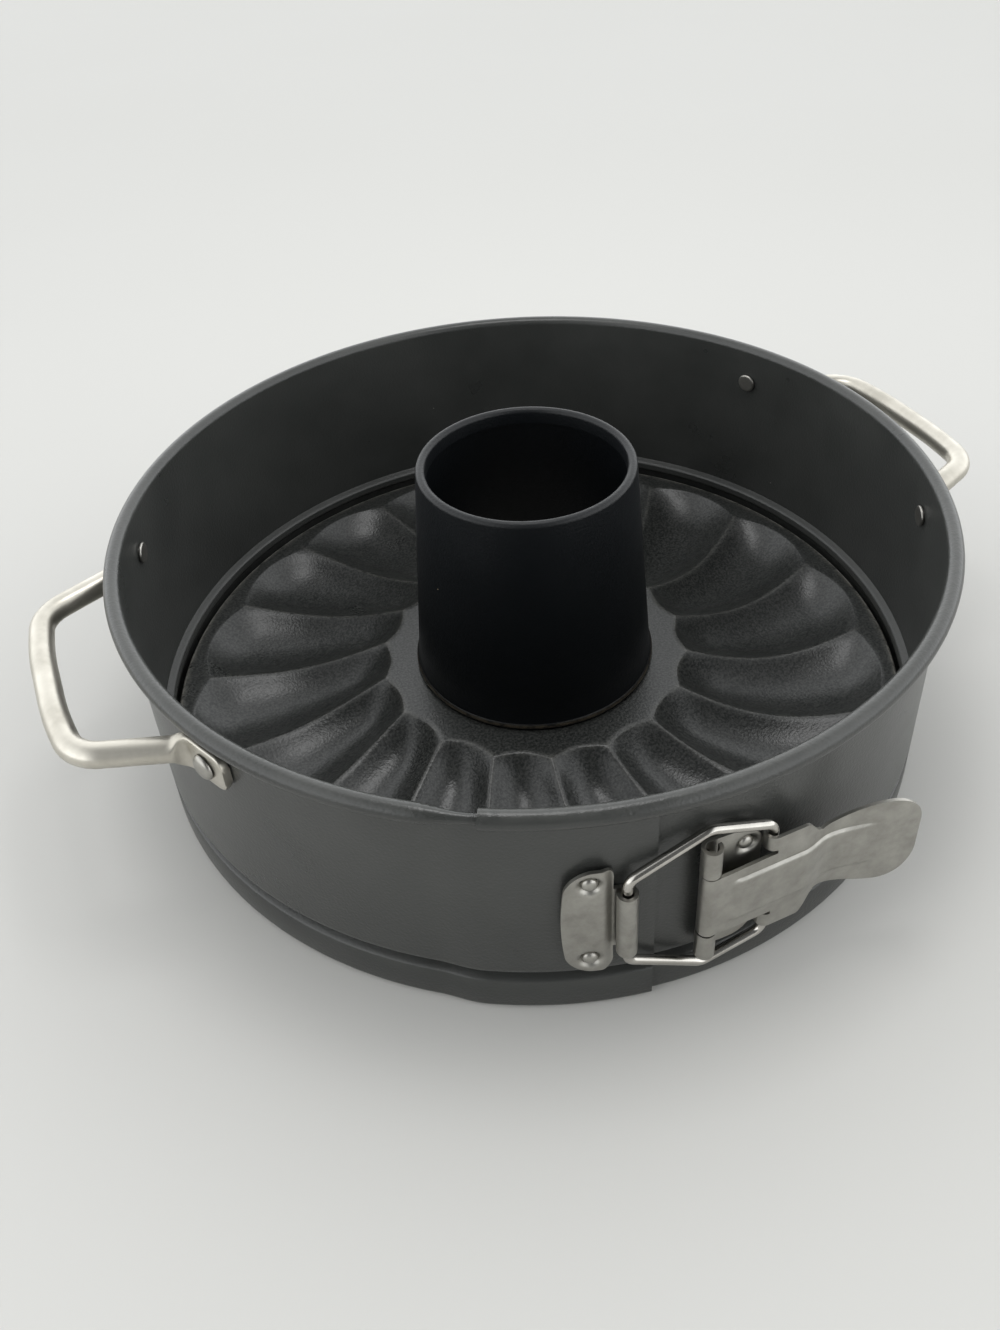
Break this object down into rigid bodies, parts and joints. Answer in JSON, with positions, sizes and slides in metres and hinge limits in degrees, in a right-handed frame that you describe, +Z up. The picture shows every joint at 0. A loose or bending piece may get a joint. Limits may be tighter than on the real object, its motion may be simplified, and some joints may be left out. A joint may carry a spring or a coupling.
{
  "type": "springform fluted tube pan",
  "caption": "Round springform baking pan: sprung steel ring with an over-centre lever latch and wire handles, on a loose fluted base with a central tube.",
  "frame": {"origin": "on the pan's vertical axis, on the surface that the pan stands on", "axes": "+Z up along the pan's axis, +X towards the right handle, -Y towards the latch side"},
  "size_m": [0.2812, 0.2427, 0.0826],
  "materials": {
    "coated_steel": "satin non-stick coat, charcoal",
    "dark_coated_steel": "satin non-stick coat, nearly black",
    "plated_steel": "dull plated",
    "bright_wire": "polished",
    "satin_wire": "satin"
  },
  "bodies": {
    "ring": {"ring_band": "coated_steel", "latch_hook_plate": "plated_steel", "latch_hinge_plate": "plated_steel", "hinge_pin": "plated_steel", "right_handle": "satin_wire", "left_handle": "satin_wire", "right_handle_rivet_front": "plated_steel", "right_handle_rivet_rear": "plated_steel", "left_handle_rivet_front": "plated_steel", "left_handle_rivet_rear": "plated_steel", "hook_rivet_upper": "plated_steel", "hook_rivet_lower": "plated_steel", "hinge_rivet_upper": "plated_steel", "hinge_rivet_lower": "plated_steel"},
    "base": {"fluted_base": "coated_steel", "centre_tube": "dark_coated_steel"},
    "lever": {"latch_lever": "plated_steel"},
    "bail": {"wire_bail": "bright_wire"}
  },
  "joints": [
    {"name": "lever_swing", "type": "hinge", "parent": "ring", "child": "lever", "pos_m": [-0.01243, -0.11825, 0.035], "axis": [0, 0, -1], "range_deg": [0, 115]},
    {"name": "bail_swing", "type": "hinge", "parent": "ring", "child": "bail", "pos_m": [-0.0312, -0.11484, 0.035], "axis": [0, 0, -1], "range_deg": [0, 55]},
    {"name": "base_lift", "type": "slide", "parent": "ring", "child": "base", "axis": [0, 0, 1], "range_m": [0, 0.08]}
  ],
  "couplings": [
    {"joint": "bail_swing", "follows": "lever_swing", "ratio": 0.4578}
  ]
}
